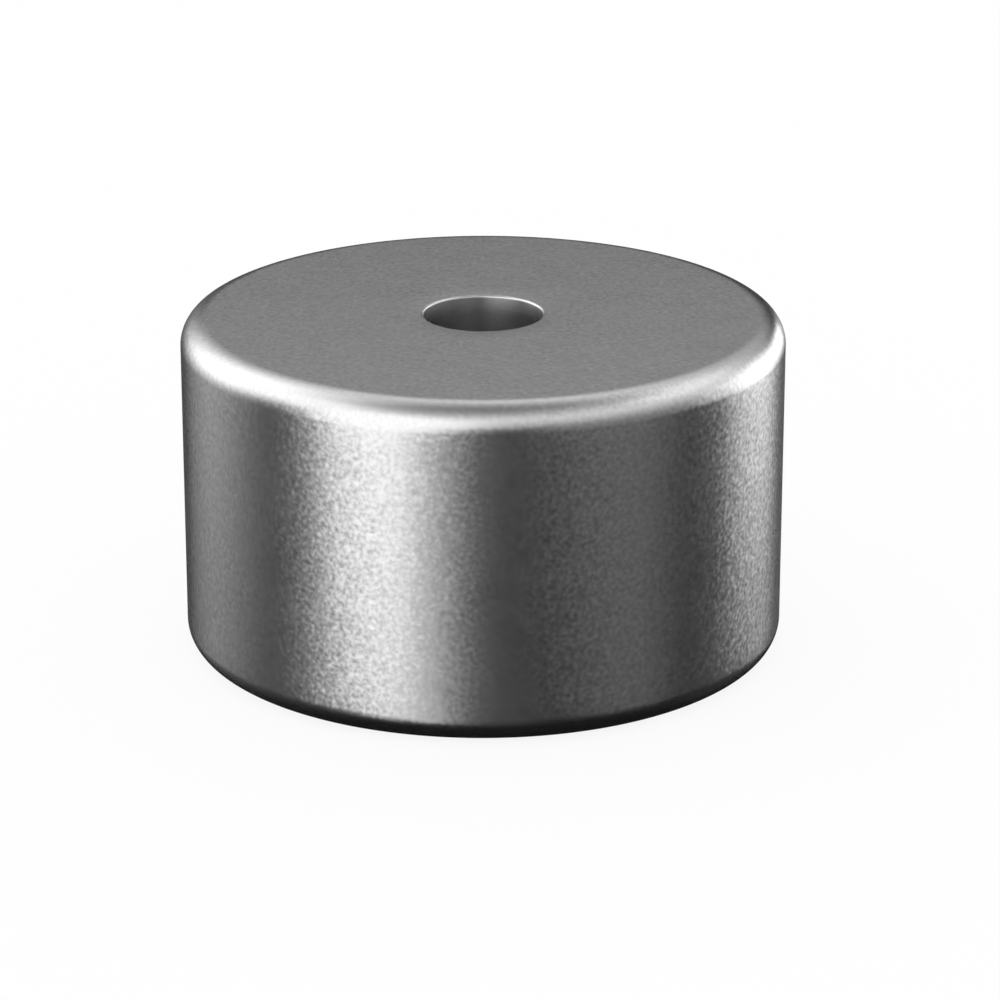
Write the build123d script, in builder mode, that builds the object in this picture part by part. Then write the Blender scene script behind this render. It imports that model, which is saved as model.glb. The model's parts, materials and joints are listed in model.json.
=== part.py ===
"""Record weight: a plain round weight that slips over the spindle of a record player and holds the
record flat on the platter by its own mass.

The whole weight is one piece, turned from steel bar: a short thick cylinder with a round on each
outer rim, bored right through for the spindle, with the sharp edge taken off both mouths of the
bore. It stands on Z = 0 with the bore along Z, and the origin is the middle of its underside.
All sizes are in millimetres.
"""

import os

from build123d import *

# Body
body_diameter = 38.1
body_height = 21.5

# Rounds on the outer rims
top_rim_round = 1.65
foot_rim_round = 1.7

# Bore for the platter's spindle, from face to face
spindle_diameter = 7.15
spindle_clearance = 0.2  # all round, so that the weight drops on under its own mass
bore_edge_round = 0.25

body_radius = body_diameter / 2
bore_radius = spindle_diameter / 2 + spindle_clearance

with BuildPart() as weight_body:
    # Half of the turned section, from the axis out to the side, with its two outer corners rounded
    with BuildSketch(Plane.XZ) as half_section:
        Rectangle(body_radius, body_height, align=(Align.MIN, Align.MIN))
        top_corner = half_section.vertices().group_by(Axis.X)[-1].sort_by(Axis.Y)[-1]
        fillet(top_corner, radius=top_rim_round)
        foot_corner = half_section.vertices().group_by(Axis.X)[-1].sort_by(Axis.Y)[0]
        fillet(foot_corner, radius=foot_rim_round)
    revolve(axis=Axis.Z)

    # The bore, and the fine round on the edge at each of its mouths
    Hole(radius=bore_radius)
    bore_mouths = weight_body.edges(Select.LAST).filter_by(GeomType.CIRCLE)
    fillet(bore_mouths, radius=bore_edge_round)

weight_body.part.label = "weight_body"

os.makedirs("parts", exist_ok=True)
export_step(weight_body.part, "parts/weight_body.step")
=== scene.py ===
"""Looks of a record weight: a plain turned steel weight that holds a record flat on its platter.

Lengths are in metres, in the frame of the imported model: Z runs up along the bore, and the origin
is the middle of the underside. Azimuths are in degrees from the front, -Y, round to the right,
+X. Elevations are in degrees above the horizon.
"""

import json
import logging
import math
from dataclasses import dataclass
from enum import IntEnum

import bmesh
import bpy
from mathutils import Matrix, Vector

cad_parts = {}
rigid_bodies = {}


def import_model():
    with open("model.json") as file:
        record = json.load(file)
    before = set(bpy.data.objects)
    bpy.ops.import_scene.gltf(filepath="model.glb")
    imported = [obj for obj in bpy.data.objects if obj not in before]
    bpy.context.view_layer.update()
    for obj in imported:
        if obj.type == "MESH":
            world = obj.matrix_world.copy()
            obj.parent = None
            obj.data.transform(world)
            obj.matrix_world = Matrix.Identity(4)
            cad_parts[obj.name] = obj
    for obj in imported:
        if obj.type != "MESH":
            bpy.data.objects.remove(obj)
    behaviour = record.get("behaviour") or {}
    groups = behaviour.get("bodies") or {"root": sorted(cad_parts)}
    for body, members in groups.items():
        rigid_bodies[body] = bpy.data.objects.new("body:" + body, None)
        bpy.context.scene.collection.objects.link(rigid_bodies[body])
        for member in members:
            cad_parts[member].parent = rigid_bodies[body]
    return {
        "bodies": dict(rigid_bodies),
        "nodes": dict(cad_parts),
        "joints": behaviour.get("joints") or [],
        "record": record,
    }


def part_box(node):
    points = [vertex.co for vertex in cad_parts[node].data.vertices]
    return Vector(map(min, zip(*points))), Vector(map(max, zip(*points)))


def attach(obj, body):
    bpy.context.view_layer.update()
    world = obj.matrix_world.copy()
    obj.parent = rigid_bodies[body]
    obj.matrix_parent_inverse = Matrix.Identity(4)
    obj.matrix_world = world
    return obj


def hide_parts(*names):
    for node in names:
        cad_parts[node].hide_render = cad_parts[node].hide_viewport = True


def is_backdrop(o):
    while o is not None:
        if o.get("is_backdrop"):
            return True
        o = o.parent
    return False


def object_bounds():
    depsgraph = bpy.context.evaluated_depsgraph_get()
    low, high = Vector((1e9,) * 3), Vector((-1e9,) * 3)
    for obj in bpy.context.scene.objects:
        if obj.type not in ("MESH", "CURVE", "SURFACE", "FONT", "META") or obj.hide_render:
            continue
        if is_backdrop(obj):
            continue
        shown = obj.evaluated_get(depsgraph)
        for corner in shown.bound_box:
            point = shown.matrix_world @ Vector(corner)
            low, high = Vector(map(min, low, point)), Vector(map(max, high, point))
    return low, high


MM = 0.001
PICTURE_SIDE = 1000.0  # pixels
HALF_TURN = 180.0  # degrees
ACROSS = 0.25  # of a full turn, which turns a smear from along the tangent to across it
NOISE_MIDDLE = 0.5  # of a noise texture's values
NOISE_REACH = 0.2  # on each side of that middle, where nearly all of the values lie
WHITE = 1.0  # strength of light that shows as white

Tree = bpy.types.NodeTree
Socket = bpy.types.NodeSocket
Sockets = bpy.types.bpy_prop_collection

log = logging.getLogger("record_weight")


def linear_colour(hex_code: str) -> tuple[float, float, float, float]:
    """Turns an sRGB hex colour into the linear colour that a shader works in.

    Args:
        hex_code: Colour as "#RRGGBB".

    Returns:
        Linear red, green and blue, and an alpha of 1.
    """
    shares = [int(hex_code[i : i + 2], 16) / 255 for i in (1, 3, 5)]
    # The sRGB curve is straight close to black and a power of the value above that
    levels = [s / 12.92 if s <= 0.04045 else ((s + 0.055) / 1.055) ** 2.4 for s in shares]
    return (*levels, 1.0)


def add_node(
    tree: Tree,
    kind: str,
    inputs: dict[str | int, object] | None = None,
    **settings: object,
) -> bpy.types.Node:
    """Adds one node to a tree, with its settings, its inputs' values and its incoming links.

    Args:
        tree: Shader or geometry tree that gets the node.
        kind: Blender's own name for the type of node.
        inputs: What each input, by name or number, is set to, or the output that is linked to it.
        **settings: Properties of the node itself, such as its operation.

    Returns:
        The new node.
    """
    node = tree.nodes.new(kind)
    for name, value in settings.items():
        setattr(node, name, value)
    for key, value in (inputs or {}).items():
        if isinstance(value, Socket):
            tree.links.new(value, node.inputs[key])
        else:
            node.inputs[key].default_value = value
    return node


def new_material(name: str) -> tuple[bpy.types.Material, Tree]:
    """Makes a node material whose tree is still empty.

    Args:
        name: Name of the material.

    Returns:
        The material and its tree.
    """
    material = bpy.data.materials.new(name)
    material.use_nodes = True
    material.node_tree.nodes.clear()
    return material, material.node_tree


@dataclass(frozen=True)
class BlastedSteel:
    """Stainless steel, turned and then blasted with fine glass beads.

    The beads wipe out the turning marks and leave small overlapping dimples, each tilted a little
    its own way. To the eye that is an even satin grey, with bands of light that are soft at their
    edges and break up into grains there.

    Attributes:
        colour: What bare stainless steel reflects, face on.
        roughness: Of the metal within a dimple.
        dimple_mm: Width of one dimple, drawn about twice as wide as real ones so that it shows.
        dimple_layers: Layers of finer noise over the dimples.
        dimple_tilt: Slope of a dimple's side, as the most that a normal is turned.
        faced_share: Share of that slope on the flats, which were faced smoother before blasting.
        painted_pit_shade: How far painted shade darkens, and painted light lightens, the metal's colour in
            each dimple, for the shade that falls in its pits.
        mottle_mm: Width of the faint patches where the beads struck a little more or less.
        mottle: How far those patches raise and lower the roughness.
    """

    colour: str = "#CAC9C9"
    roughness: float = 0.26
    dimple_mm: float = 0.28
    dimple_layers: float = 1.0
    dimple_tilt: float = 0.13
    faced_share: float = 0.4
    painted_pit_shade: float = 0.22
    mottle_mm: float = 3.0
    mottle: float = 0.01

    def material(self) -> bpy.types.Material:
        """Builds the finish as a material on Object coordinates.

        Returns:
            The new material.
        """
        material, tree = new_material("blasted_stainless_steel")
        place = add_node(tree, "ShaderNodeTexCoord").outputs["Object"]
        dimples = self.dimples(tree, place)
        metal = add_node(
            tree,
            "ShaderNodeBsdfPrincipled",
            {
                "Base Color": self.colour_with_painted_shade(tree, dimples),
                "Metallic": 1.0,
                "Roughness": self.mottled_roughness(tree, place),
                "Normal": self.tilted_normal(tree, dimples),
            },
        )
        add_node(tree, "ShaderNodeOutputMaterial", {"Surface": metal.outputs["BSDF"]})
        return material

    def dimples(self, tree: Tree, place: Socket) -> Socket:
        """Adds the noise that sets each dimple apart from its neighbours.

        Args:
            tree: The material's tree.
            place: Where on the piece the surface is.

        Returns:
            The output whose X, Y and Z each vary about zero, in ways of their own.
        """
        noise = add_node(
            tree,
            "ShaderNodeTexNoise",
            {"Vector": place, "Scale": 1 / (self.dimple_mm * MM), "Detail": self.dimple_layers},
        )
        return add_node(
            tree,
            "ShaderNodeVectorMath",
            {0: noise.outputs["Color"], 1: (NOISE_MIDDLE, NOISE_MIDDLE, NOISE_MIDDLE)},
            operation="SUBTRACT",
        ).outputs["Vector"]

    def tilted_normal(self, tree: Tree, dimples: Socket) -> Socket:
        """Adds the nodes that tilt the surface within each dimple, and less so on the flats.

        Args:
            tree: The material's tree.
            dimples: What sets the dimples apart.

        Returns:
            The output that holds the tilted normal.
        """
        smooth_normal = add_node(tree, "ShaderNodeNewGeometry").outputs["Normal"]
        facing_up = add_node(tree, "ShaderNodeSeparateXYZ", {"Vector": smooth_normal}).outputs["Z"]
        flatness = add_node(tree, "ShaderNodeMath", {0: facing_up}, operation="ABSOLUTE").outputs[0]
        slope = add_node(
            tree,
            "ShaderNodeMapRange",
            {
                "Value": flatness,
                "To Min": self.dimple_tilt,
                "To Max": self.dimple_tilt * self.faced_share,
            },
        ).outputs["Result"]
        tilt = add_node(
            tree, "ShaderNodeVectorMath", {0: dimples, "Scale": slope}, operation="SCALE"
        ).outputs["Vector"]
        tilted = add_node(
            tree, "ShaderNodeVectorMath", {0: smooth_normal, 1: tilt}, operation="ADD"
        ).outputs["Vector"]
        return add_node(
            tree, "ShaderNodeVectorMath", {0: tilted}, operation="NORMALIZE"
        ).outputs["Vector"]

    def mottled_roughness(self, tree: Tree, place: Socket) -> Socket:
        """Adds the nodes that vary the roughness from patch to patch.

        Args:
            tree: The material's tree.
            place: Where on the piece the surface is.

        Returns:
            The output that holds the roughness.
        """
        patches = add_node(
            tree, "ShaderNodeTexNoise", {"Vector": place, "Scale": 1 / (self.mottle_mm * MM)}
        )
        return add_node(
            tree,
            "ShaderNodeMapRange",
            {
                "Value": patches.outputs["Fac"],
                "From Min": NOISE_MIDDLE - NOISE_REACH,
                "From Max": NOISE_MIDDLE + NOISE_REACH,
                "To Min": self.roughness - self.mottle,
                "To Max": self.roughness + self.mottle,
            },
        ).outputs["Result"]

    def colour_with_painted_shade(self, tree: Tree, dimples: Socket) -> Socket:
        """Adds the nodes that paint shade and light into the metal's colour, a little in each dimple, for
        the shade in its pits.

        Args:
            tree: The material's tree.
            dimples: What sets the dimples apart.

        Returns:
            The output that holds the colour.
        """
        # Painted shade and light: the colour is darkened or lightened a little in each dimple, for the
        # shade in its pits
        pit_shade_noise = add_node(tree, "ShaderNodeSeparateXYZ", {"Vector": dimples}).outputs["X"]
        shade = add_node(
            tree,
            "ShaderNodeMath",
            {0: pit_shade_noise, 1: self.painted_pit_shade, 2: 1.0},
            operation="MULTIPLY_ADD",
        ).outputs[0]
        return add_node(
            tree,
            "ShaderNodeVectorMath",
            {0: linear_colour(self.colour)[:3], "Scale": shade},
            operation="SCALE",
        ).outputs["Vector"]


@dataclass(frozen=True)
class ReamedSteel:
    """The same steel inside the bore, where only the mouths are reached by the beads.

    The reamer leaves fine rings round the bore. To the eye they smear what the wall shows up and
    down it, so that it is a soft dark grey. The blasted mouth has a glow where it faces the
    brightest softbox.

    Attributes:
        colour: What bare stainless steel reflects, face on.
        roughness: Of the wall, between its values along and across the rings.
        mouth_roughness: Of the wall right at a mouth, where the beads strike it.
        reach_mm: How deep into a mouth the beads get.
        smear: How much further light spreads across the rings than along them.
    """

    colour: str = "#CAC9C9"
    roughness: float = 0.24
    mouth_roughness: float = 0.36
    reach_mm: float = 1.2
    smear: float = 0.75

    def material(self, length: float) -> bpy.types.Material:
        """Builds the finish as a material whose rings run round the Z axis.

        Args:
            length: Of the bore, which starts at the origin and runs up.

        Returns:
            The new material.
        """
        material, tree = new_material("reamed_stainless_steel")
        rings = add_node(tree, "ShaderNodeTangent", direction_type="RADIAL", axis="Z")
        metal = add_node(
            tree,
            "ShaderNodeBsdfPrincipled",
            {
                "Base Color": linear_colour(self.colour),
                "Metallic": 1.0,
                "Roughness": self.rough_at_mouths(tree, length),
                "Anisotropic": self.smear,
                "Anisotropic Rotation": ACROSS,
                "Tangent": rings.outputs["Tangent"],
            },
        )
        add_node(tree, "ShaderNodeOutputMaterial", {"Surface": metal.outputs["BSDF"]})
        return material

    def rough_at_mouths(self, tree: Tree, length: float) -> Socket:
        """Adds the nodes that roughen the wall towards both of its mouths.

        Args:
            tree: The material's tree.
            length: Of the bore.

        Returns:
            The output that holds the roughness.
        """
        place = add_node(tree, "ShaderNodeTexCoord").outputs["Object"]
        height = add_node(tree, "ShaderNodeSeparateXYZ", {"Vector": place}).outputs["Z"]
        above_middle = add_node(
            tree, "ShaderNodeMath", {0: height, 1: length / 2}, operation="SUBTRACT"
        ).outputs[0]
        off_middle = add_node(
            tree, "ShaderNodeMath", {0: above_middle}, operation="ABSOLUTE"
        ).outputs[0]
        return add_node(
            tree,
            "ShaderNodeMapRange",
            {
                "Value": off_middle,
                "From Min": length / 2 - self.reach_mm * MM,
                "From Max": length / 2,
                "To Min": self.roughness,
                "To Max": self.mouth_roughness,
            },
        ).outputs["Result"]


class Corner(IntEnum):
    """Corners of the weight's half section, in the order in which its rectangle has them."""

    TOP_RIM = 0
    TOP_MOUTH = 1
    FOOT_MOUTH = 2
    FOOT_RIM = 3


@dataclass
class TurnedWeight:
    """The weight: a closed ring swept from its half section, as a lathe makes it.

    Attributes:
        outer_radius: Of the side.
        height: From the underside to the top face.
        bore_radius: Of the bore's wall.
        top_rim_round: Radius of the round at the top rim.
        foot_rim_round: Radius of the round at the foot rim.
        bore_edge_round: Of the fine round at each mouth of the bore, as thin as its bright line.
        facets_about: Facets round the weight.
        facets_in_round: Facets across each round.
        cuts_in_flat: Extra rows of vertices across each straight stretch of the section.
        wall_margin: Share of the mouth's round that still has the bore's finish.
    """

    outer_radius: float
    height: float
    bore_radius: float
    top_rim_round: float = 1.65 * MM
    foot_rim_round: float = 1.7 * MM
    bore_edge_round: float = 0.15 * MM
    facets_about: int = 360
    facets_in_round: int = 24
    cuts_in_flat: int = 7
    wall_margin: float = 0.1

    @classmethod
    def from_frame(cls, frame: dict) -> "TurnedWeight":
        """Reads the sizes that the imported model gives.


        Returns:
            The weight, with the frame's own width, height and bore.
        """
        low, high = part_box("weight_body")
        bore = next(m for m in frame["record"]["mounts"] if m["name"] == "spindle_bore")
        return cls(
            outer_radius=(high.x - low.x) / 2,
            height=high.z - low.z,
            bore_radius=bore["dims"]["r_mm"] * MM,
        )

    def lengths(self) -> dict[str, float]:
        """Lists the lengths by the names that they have as inputs of the geometry tree."""
        return {
            "Outer Radius": self.outer_radius,
            "Bore Radius": self.bore_radius,
            "Height": self.height,
            "Top Round": self.top_rim_round,
            "Foot Round": self.foot_rim_round,
            "Bore Round": self.bore_edge_round,
        }

    def counts(self) -> dict[str, int]:
        """Lists the whole numbers by the names that they have as inputs of the geometry tree."""
        return {
            "Facets About": self.facets_about,
            "Facets In Round": self.facets_in_round,
            "Cuts In Flat": self.cuts_in_flat,
        }

    def tree(self, outside: bpy.types.Material, inside: bpy.types.Material) -> Tree:
        """Builds the geometry tree that draws the half section and turns it about the bore.

        Args:
            outside: Finish of all but the bore's wall.
            inside: Finish of the bore's wall.

        Returns:
            The tree, with one named input for each size.
        """
        tree = bpy.data.node_groups.new("turned_ring", "GeometryNodeTree")
        for name in self.lengths():
            tree.interface.new_socket(name, in_out="INPUT", socket_type="NodeSocketFloat")
        for name in self.counts():
            tree.interface.new_socket(name, in_out="INPUT", socket_type="NodeSocketInt")
        tree.interface.new_socket("Mesh", in_out="OUTPUT", socket_type="NodeSocketGeometry")
        sizes = add_node(tree, "NodeGroupInput").outputs
        section = self.half_section(tree, sizes)
        ring = self.swept_ring(tree, sizes, section)
        real = add_node(tree, "GeometryNodeRealizeInstances", {"Geometry": ring})
        blasted = add_node(
            tree,
            "GeometryNodeSetMaterial",
            {"Geometry": real.outputs["Geometry"], "Material": outside},
        )
        dressed = add_node(
            tree,
            "GeometryNodeSetMaterial",
            {
                "Geometry": blasted.outputs["Geometry"],
                "Selection": self.on_wall(tree, sizes),
                "Material": inside,
            },
        )
        add_node(tree, "NodeGroupOutput", {"Mesh": dressed.outputs["Geometry"]})
        return tree

    def half_section(self, tree: Tree, sizes: Sockets) -> Socket:
        """Adds the nodes that draw the half section, a rectangle with four rounded corners.

        Args:
            tree: The geometry tree.
            sizes: The tree's own inputs.

        Returns:
            The output that holds the section's curve, about its own middle.
        """
        width = add_node(
            tree,
            "ShaderNodeMath",
            {0: sizes["Outer Radius"], 1: sizes["Bore Radius"]},
            operation="SUBTRACT",
        ).outputs[0]
        rectangle = add_node(
            tree,
            "GeometryNodeCurvePrimitiveQuadrilateral",
            {"Width": width, "Height": sizes["Height"]},
        )
        outline = add_node(
            tree,
            "GeometryNodeSubdivideCurve",
            {"Curve": rectangle.outputs["Curve"], "Cuts": sizes["Cuts In Flat"]},
        )
        return add_node(
            tree,
            "GeometryNodeFilletCurve",
            {
                "Curve": outline.outputs["Curve"],
                "Radius": self.corner_radius(tree, sizes),
                "Count": sizes["Facets In Round"],
            },
            mode="POLY",
        ).outputs["Curve"]

    def corner_radius(self, tree: Tree, sizes: Sockets) -> Socket:
        """Adds the nodes that give each point of the outline the radius of its corner.

        Only a corner point gets a radius. The points between corners keep the flats flat.

        Args:
            tree: The geometry tree.
            sizes: The tree's own inputs.

        Returns:
            The output that holds a radius for each point.
        """
        index = add_node(tree, "GeometryNodeInputIndex").outputs[0]
        spans = add_node(
            tree, "FunctionNodeIntegerMath", {0: sizes["Cuts In Flat"], 1: 1}, operation="ADD"
        ).outputs[0]
        side = add_node(
            tree, "FunctionNodeIntegerMath", {0: index, 1: spans}, operation="DIVIDE"
        ).outputs[0]
        along = add_node(
            tree, "FunctionNodeIntegerMath", {0: index, 1: spans}, operation="MODULO"
        ).outputs[0]
        is_corner = add_node(
            tree, "FunctionNodeCompare", {"A": along, "B": 0}, data_type="INT", operation="EQUAL"
        ).outputs[0]
        rounds = add_node(tree, "GeometryNodeIndexSwitch", {"Index": side}, data_type="FLOAT")
        while len(rounds.index_switch_items) < len(Corner):
            rounds.index_switch_items.new()
        names = {
            Corner.TOP_RIM: "Top Round",
            Corner.TOP_MOUTH: "Bore Round",
            Corner.FOOT_MOUTH: "Bore Round",
            Corner.FOOT_RIM: "Foot Round",
        }
        for corner, name in names.items():
            tree.links.new(sizes[name], rounds.inputs[corner + 1])
        return add_node(
            tree,
            "ShaderNodeMath",
            {0: rounds.outputs[0], 1: is_corner},
            operation="MULTIPLY",
        ).outputs[0]

    def swept_ring(self, tree: Tree, sizes: Sockets, section: Socket) -> Socket:
        """Adds the nodes that sweep the half section once round the bore.

        Args:
            tree: The geometry tree.
            sizes: The tree's own inputs.
            section: The half section, about its own middle.

        Returns:
            The output that holds the smooth ring, which stands on its foot.
        """
        both_radii = add_node(
            tree,
            "ShaderNodeMath",
            {0: sizes["Outer Radius"], 1: sizes["Bore Radius"]},
            operation="ADD",
        ).outputs[0]
        path_radius = add_node(
            tree, "ShaderNodeMath", {0: both_radii, 1: 2.0}, operation="DIVIDE"
        ).outputs[0]
        path = add_node(
            tree,
            "GeometryNodeCurvePrimitiveCircle",
            {"Resolution": sizes["Facets About"], "Radius": path_radius},
        )
        upright = add_node(
            tree, "GeometryNodeSetCurveNormal", {"Curve": path.outputs["Curve"]}, mode="Z_UP"
        )
        ring = add_node(
            tree,
            "GeometryNodeCurveToMesh",
            {"Curve": upright.outputs["Curve"], "Profile Curve": section},
        )
        half_height = add_node(
            tree, "ShaderNodeMath", {0: sizes["Height"], 1: 2.0}, operation="DIVIDE"
        ).outputs[0]
        lift = add_node(tree, "ShaderNodeCombineXYZ", {"Z": half_height})
        standing = add_node(
            tree,
            "GeometryNodeTransform",
            {"Geometry": ring.outputs["Mesh"], "Translation": lift.outputs["Vector"]},
        )
        return add_node(
            tree, "GeometryNodeSetShadeSmooth", {"Geometry": standing.outputs["Geometry"]}
        ).outputs["Geometry"]

    def on_wall(self, tree: Tree, sizes: Sockets) -> Socket:
        """Adds the nodes that pick the faces of the bore's wall.

        The middle of a face on the wall is nearer the axis than the first face of a round is.

        Args:
            tree: The geometry tree.
            sizes: The tree's own inputs.

        Returns:
            The output that is true on the wall.
        """
        place = add_node(tree, "GeometryNodeInputPosition").outputs["Position"]
        level = add_node(
            tree, "ShaderNodeVectorMath", {0: place, 1: (1.0, 1.0, 0.0)}, operation="MULTIPLY"
        ).outputs["Vector"]
        from_axis = add_node(
            tree, "ShaderNodeVectorMath", {0: level}, operation="LENGTH"
        ).outputs["Value"]
        limit = add_node(
            tree,
            "ShaderNodeMath",
            {0: sizes["Bore Round"], 1: self.wall_margin, 2: sizes["Bore Radius"]},
            operation="MULTIPLY_ADD",
        ).outputs[0]
        return add_node(
            tree, "FunctionNodeCompare", {"A": from_axis, "B": limit}, operation="LESS_THAN"
        ).outputs[0]

    def build(self, outside: BlastedSteel, inside: ReamedSteel) -> bpy.types.Object:
        """Makes the weight's mesh and seats it on the frame.

        Args:
            outside: Finish of all but the bore's wall.
            inside: Finish of the bore's wall.

        Returns:
            The finished piece.
        """
        tree = self.tree(outside.material(), inside.material(self.height))
        piece = bpy.data.objects.new("turned_weight", bpy.data.meshes.new("turned_weight"))
        bpy.context.scene.collection.objects.link(piece)
        lathe = piece.modifiers.new("turning", "NODES")
        lathe.node_group = tree
        values = self.lengths() | self.counts()
        for socket in tree.interface.items_tree:
            if socket.in_out == "INPUT":
                lathe[socket.identifier] = values[socket.name]
        evaluated = piece.evaluated_get(bpy.context.evaluated_depsgraph_get())
        mesh = bpy.data.meshes.new_from_object(evaluated)
        piece.modifiers.remove(lathe)
        piece.data = mesh
        mesh.name = "turned_weight"
        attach(piece, "root")
        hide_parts("weight_body")
        return piece


@dataclass(frozen=True)
class Edge:
    """An edge of a panel, soft as a softbox's is.

    Attributes:
        at: Angle at which the panel is half gone.
        feather: How far it fades on each side of that angle.
    """

    at: float
    feather: float


ALL_ROUND = Edge(190, 5)  # past half a turn, so that no upright edge shows
UNDERFOOT = Edge(-100, 5)  # past straight down, so that no lower edge shows
OVERHEAD = Edge(100, 5)  # past straight up, so that no upper edge shows


@dataclass(frozen=True)
class Panel:
    """A softbox or a dark flag round the weight, which only shows in the metal.

    Attributes:
        name: What it is called on its node.
        glow: How bright it is, where 1 is white.
        azimuth: Direction of its middle.
        side: Either upright edge, from its middle.
        low: Its lower edge, from the horizon.
        high: Its upper edge, from the horizon.
    """

    name: str
    glow: float
    azimuth: float = 0
    side: Edge = ALL_ROUND
    low: Edge = UNDERFOOT
    high: Edge = OVERHEAD

    def cover(self, tree: Tree, azimuth: Socket, elevation: Socket) -> Socket:
        """Adds the nodes that say how much of a ray's light comes from this panel.

        Args:
            tree: The surround's tree.
            azimuth: Azimuth of the ray.
            elevation: Elevation of the ray.

        Returns:
            The output that is 1 on the panel and fades to 0 round it.
        """
        off = add_node(
            tree, "ShaderNodeMath", {0: azimuth, 1: self.azimuth}, operation="SUBTRACT"
        ).outputs[0]
        turned = add_node(
            tree, "ShaderNodeMath", {0: off, 1: HALF_TURN, 2: -HALF_TURN}, operation="WRAP"
        ).outputs[0]
        aside = add_node(tree, "ShaderNodeMath", {0: turned}, operation="ABSOLUTE").outputs[0]
        within, above, below = (
            add_node(
                tree,
                "ShaderNodeMapRange",
                {"Value": angle, "From Min": edge.at - rise, "From Max": edge.at + rise},
                interpolation_type="SMOOTHSTEP",
            ).outputs["Result"]
            for angle, edge, rise in (
                (aside, self.side, -self.side.feather),
                (elevation, self.low, self.low.feather),
                (elevation, self.high, -self.high.feather),
            )
        )
        tall = add_node(
            tree, "ShaderNodeMath", {0: above, 1: below}, operation="MULTIPLY"
        ).outputs[0]
        return add_node(
            tree, "ShaderNodeMath", {0: within, 1: tall}, operation="MULTIPLY", label=self.name
        ).outputs[0]


# Each panel hides those before it
PANELS = (
    # A dim roof and two walls, with flags low down on every side
    Panel("roof", glow=0.27, low=Edge(62, 22)),
    Panel("front wall", glow=0.28, azimuth=22, side=Edge(67, 3), high=Edge(20, 22)),
    Panel("front flag", glow=0.0, azimuth=6, side=Edge(34, 16), high=Edge(-20.5, 2)),
    Panel("right flag", glow=0.04, azimuth=101, side=Edge(29, 13), high=Edge(-11, 9)),
    Panel("back wall", glow=0.54, azimuth=178, side=Edge(47, 5), high=Edge(35, 10)),
    Panel("back flag", glow=0.0, azimuth=177, side=Edge(35, 7), high=Edge(17.5, 2)),
    Panel("left flag", glow=0.09, azimuth=-85, side=Edge(18, 20), high=Edge(12, 12)),
    # Softboxes on the left and behind, for the top rim and the two edges of the side
    Panel("left box", glow=1.63, azimuth=-80, side=Edge(17, 4), low=Edge(21, 11), high=Edge(57, 11)),
    Panel("left back box", glow=2.12, azimuth=-123, side=Edge(26, 24), low=Edge(2, 12), high=Edge(58, 22)),
    Panel("right back box", glow=2.3, azimuth=124, side=Edge(17, 9), low=Edge(-19, 2), high=Edge(20, 9)),
    Panel("right high box", glow=1.4, azimuth=113, side=Edge(30, 14), low=Edge(35, 4), high=Edge(55, 6)),
    # A black table all round, which the foot rim shows
    Panel("table", glow=0.01, high=Edge(-23, 22)),
    # The key and the wider softbox over it, which make the bright band, and a strip on the right
    Panel("key", glow=2.33, azimuth=-44, side=Edge(17.5, 8.5), low=Edge(-21.5, 2), high=Edge(38, 22)),
    Panel("front box", glow=1.75, azimuth=-32, side=Edge(29, 13.5), low=Edge(-15, 2), high=Edge(44, 13)),
    Panel("right strip", glow=2.91, azimuth=150, side=Edge(7, 3), low=Edge(-8, 10), high=Edge(9, 2)),
    # Flags in front of those, and the key's own foot, which bound the bright band and shade the foot
    Panel("key flag", glow=0.0, azimuth=-41, side=Edge(35, 23), low=Edge(-68, 4), high=Edge(-24, 2)),
    Panel("low left", glow=0.04, azimuth=-102, side=Edge(48, 20), low=Edge(-41, 17), high=Edge(-21.5, 17)),
    Panel("middle flag", glow=0.05, azimuth=5.5, side=Edge(16, 14.5), low=Edge(-43, 3), high=Edge(7, 6.5)),
    Panel("key foot", glow=0.85, azimuth=-30, side=Edge(17, 8), low=Edge(-37, 3.5), high=Edge(-22.5, 3)),
    Panel("low right", glow=0.03, azimuth=119.5, side=Edge(22, 7.5), low=Edge(-49, 4), high=Edge(-24, 9)),
)


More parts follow.
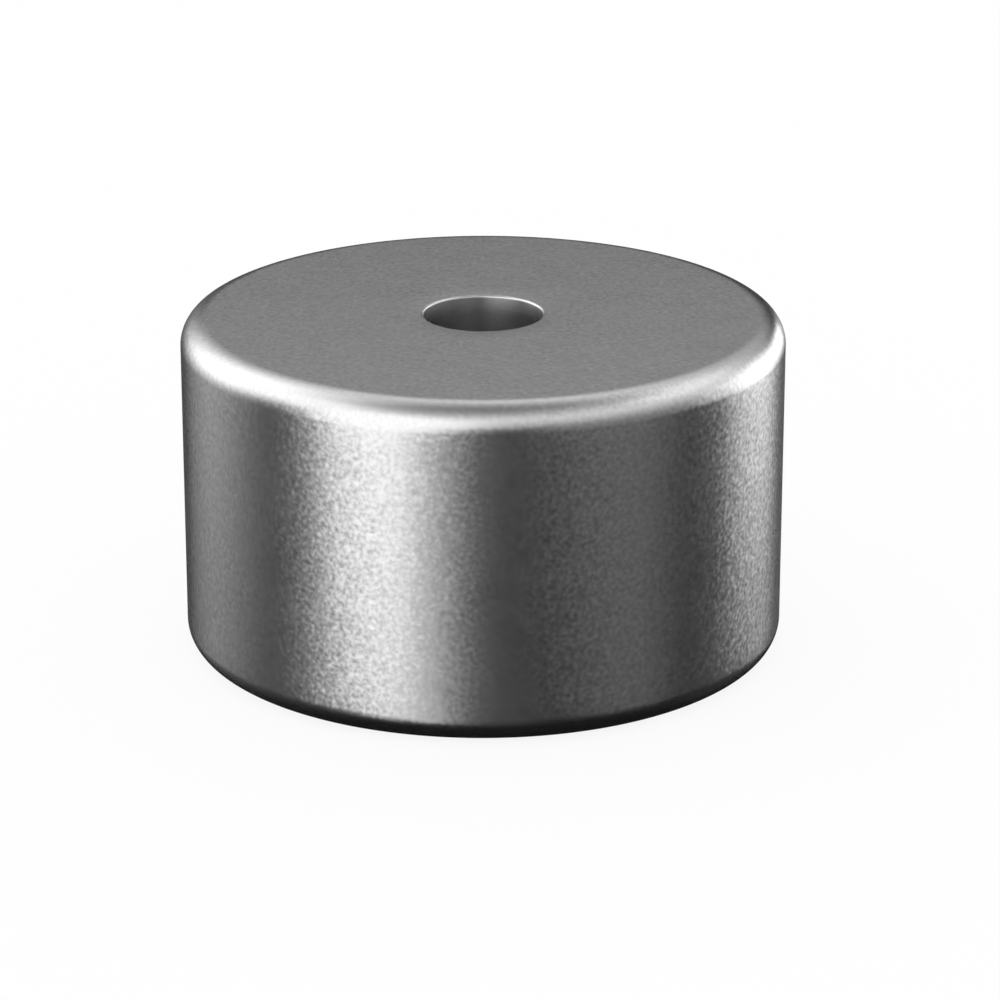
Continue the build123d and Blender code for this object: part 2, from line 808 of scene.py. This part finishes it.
@dataclass
class Studio:
    """The pale floor, and the white surround with the panels that the metal shows.

    Attributes:
        panels: The flags and softboxes, each in front of those before it.
        floor_radius: Of the round floor.
        floor_facets: Straight edges round the floor, far outside the picture.
        floor_colour: Of matt white paper.
        floor_white: Share of the floor that is plain background white, which keeps the shadow pale.
    """

    panels: tuple[Panel, ...] = PANELS
    floor_radius: float = 3.0
    floor_facets: int = 64
    floor_colour: str = "#FCFCFC"
    floor_white: float = 0.88

    def surround(self) -> bpy.types.World:
        """Makes the world: plain white, but for the panels that the metal shows.

        Returns:
            The scene's new world.
        """
        world = bpy.data.worlds.new("white_surround")
        bpy.context.scene.world = world
        world.use_nodes = True
        world.cycles.sampling_method = "NONE"  # it differs by the kind of ray, so it has no map
        tree = world.node_tree
        tree.nodes.clear()
        azimuth, elevation = self.ray_angles(tree)
        shown: float | Socket = WHITE
        for panel in self.panels:
            cover = panel.cover(tree, azimuth, elevation)
            shown = add_node(
                tree, "ShaderNodeMix", {"Factor": cover, "A": shown, "B": panel.glow}
            ).outputs["Result"]
        kind = add_node(tree, "ShaderNodeLightPath").outputs
        mirrored = add_node(
            tree,
            "ShaderNodeMath",
            {0: kind["Is Glossy Ray"], 1: kind["Is Transmission Ray"]},
            operation="MAXIMUM",
        ).outputs[0]
        strength = add_node(
            tree, "ShaderNodeMix", {"Factor": mirrored, "A": WHITE, "B": shown}
        ).outputs["Result"]
        light = add_node(
            tree,
            "ShaderNodeBackground",
            {"Color": linear_colour("#FFFFFF"), "Strength": strength},
        )
        add_node(tree, "ShaderNodeOutputWorld", {"Surface": light.outputs["Background"]})
        return world

    def ray_angles(self, tree: Tree) -> tuple[Socket, Socket]:
        """Adds the nodes that turn a ray's direction into angles.

        Args:
            tree: The surround's tree.

        Returns:
            The outputs for the ray's azimuth and elevation, in degrees.
        """
        # In a world, the Generated coordinates are the ray's direction
        ray = add_node(tree, "ShaderNodeTexCoord").outputs["Generated"]
        along = add_node(tree, "ShaderNodeSeparateXYZ", {"Vector": ray})
        forwards = add_node(
            tree, "ShaderNodeMath", {0: along.outputs["Y"], 1: -1.0}, operation="MULTIPLY"
        ).outputs[0]
        turn = add_node(
            tree, "ShaderNodeMath", {0: along.outputs["X"], 1: forwards}, operation="ARCTAN2"
        ).outputs[0]
        rise = add_node(
            tree, "ShaderNodeMath", {0: along.outputs["Z"]}, operation="ARCSINE"
        ).outputs[0]
        azimuth, elevation = (
            add_node(tree, "ShaderNodeMath", {0: angle}, operation="DEGREES").outputs[0]
            for angle in (turn, rise)
        )
        return azimuth, elevation

    def paper(self) -> bpy.types.Material:
        """Builds the floor's matt white paper, most of which the camera sees as plain white.

        Returns:
            The new material.
        """
        material, tree = new_material("matt_white_paper")
        paper = add_node(
            tree, "ShaderNodeBsdfDiffuse", {"Color": linear_colour(self.floor_colour)}
        )
        white = add_node(tree, "ShaderNodeEmission", {"Strength": WHITE})
        seen = add_node(tree, "ShaderNodeLightPath").outputs["Is Camera Ray"]
        share = add_node(
            tree, "ShaderNodeMath", {0: seen, 1: self.floor_white}, operation="MULTIPLY"
        ).outputs[0]
        mix = add_node(
            tree,
            "ShaderNodeMixShader",
            {"Fac": share, 1: paper.outputs["BSDF"], 2: white.outputs["Emission"]},
        )
        add_node(tree, "ShaderNodeOutputMaterial", {"Surface": mix.outputs["Shader"]})
        return material

    def floor(self) -> bpy.types.Object:
        """Makes the pale floor, which carries the weight's shadow and doesn't show in the metal.

        Returns:
            The floor's object.
        """
        mesh = bpy.data.meshes.new("floor")
        work = bmesh.new()
        bmesh.ops.create_circle(
            work, cap_ends=True, radius=self.floor_radius, segments=self.floor_facets
        )
        work.to_mesh(mesh)
        work.free()
        mesh.materials.append(self.paper())
        floor = bpy.data.objects.new("floor", mesh)
        bpy.context.scene.collection.objects.link(floor)
        floor.visible_glossy = False
        floor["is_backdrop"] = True
        return floor

    def build(self) -> None:
        """Sets up the surround and the floor."""
        self.surround()
        self.floor()


@dataclass(frozen=True)
class PhotoCamera:
    """The photograph's viewpoint: a long lens, a little above the top face.

    Attributes:
        lens_mm: Focal length.
        sensor_mm: Width of the sensor.
        nearest: How near the lens a thing is still shown.
        distance: From the middle of the weight to the lens.
        elevation: Of the lens above the weight's middle.
        middle_pixel: Where the weight's middle falls in the picture.
    """

    lens_mm: float = 148.2
    sensor_mm: float = 36.0
    nearest: float = 1 * MM
    distance: float = 262.7 * MM
    elevation: float = 19.3
    middle_pixel: tuple[float, float] = (483.4, 474.1)

    def build(self, middle: Vector) -> bpy.types.Object:
        """Sets up the camera so that the weight's middle falls on its pixel.

        Args:
            middle: Middle of the weight.

        Returns:
            The camera's object.
        """
        data = bpy.data.cameras.new("photo_camera")
        data.lens = self.lens_mm
        data.sensor_width = self.sensor_mm
        data.clip_start = self.nearest
        camera = bpy.data.objects.new("photo_camera", data)
        bpy.context.scene.collection.objects.link(camera)
        tilt = math.radians(self.elevation)
        towards = Vector((0, math.cos(tilt), -math.sin(tilt)))
        up = Vector((0, math.sin(tilt), math.cos(tilt)))
        # The lens aims a little past the middle, which so falls on its pixel, off the centre
        focal = self.lens_mm / self.sensor_mm * PICTURE_SIDE
        aside = self.middle_pixel[0] - PICTURE_SIDE / 2
        below = self.middle_pixel[1] - PICTURE_SIDE / 2
        aim = (towards * focal - Vector((aside, 0, 0)) + up * below).normalized()
        right = aim.cross(Vector((0, 0, 1))).normalized()
        turn = Matrix((right, right.cross(aim), -aim)).transposed()
        camera.matrix_world = Matrix.Translation(middle - towards * self.distance) @ turn.to_4x4()
        bpy.context.scene.camera = camera
        return camera


def main() -> None:
    """Builds the weight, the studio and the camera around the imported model."""
    logging.basicConfig(level=logging.INFO, format="%(name)s: %(message)s")
    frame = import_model()
    cad_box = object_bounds()
    middle = (cad_box[0] + cad_box[1]) / 2

    weight = TurnedWeight.from_frame(frame).build(BlastedSteel(), ReamedSteel())
    log.info("%s: %d faces", weight.name, len(weight.data.polygons))

    Studio().build()
    PhotoCamera().build(middle)
    bpy.context.scene.view_settings.view_transform = "Standard"


if __name__ == "__main__":
    main()
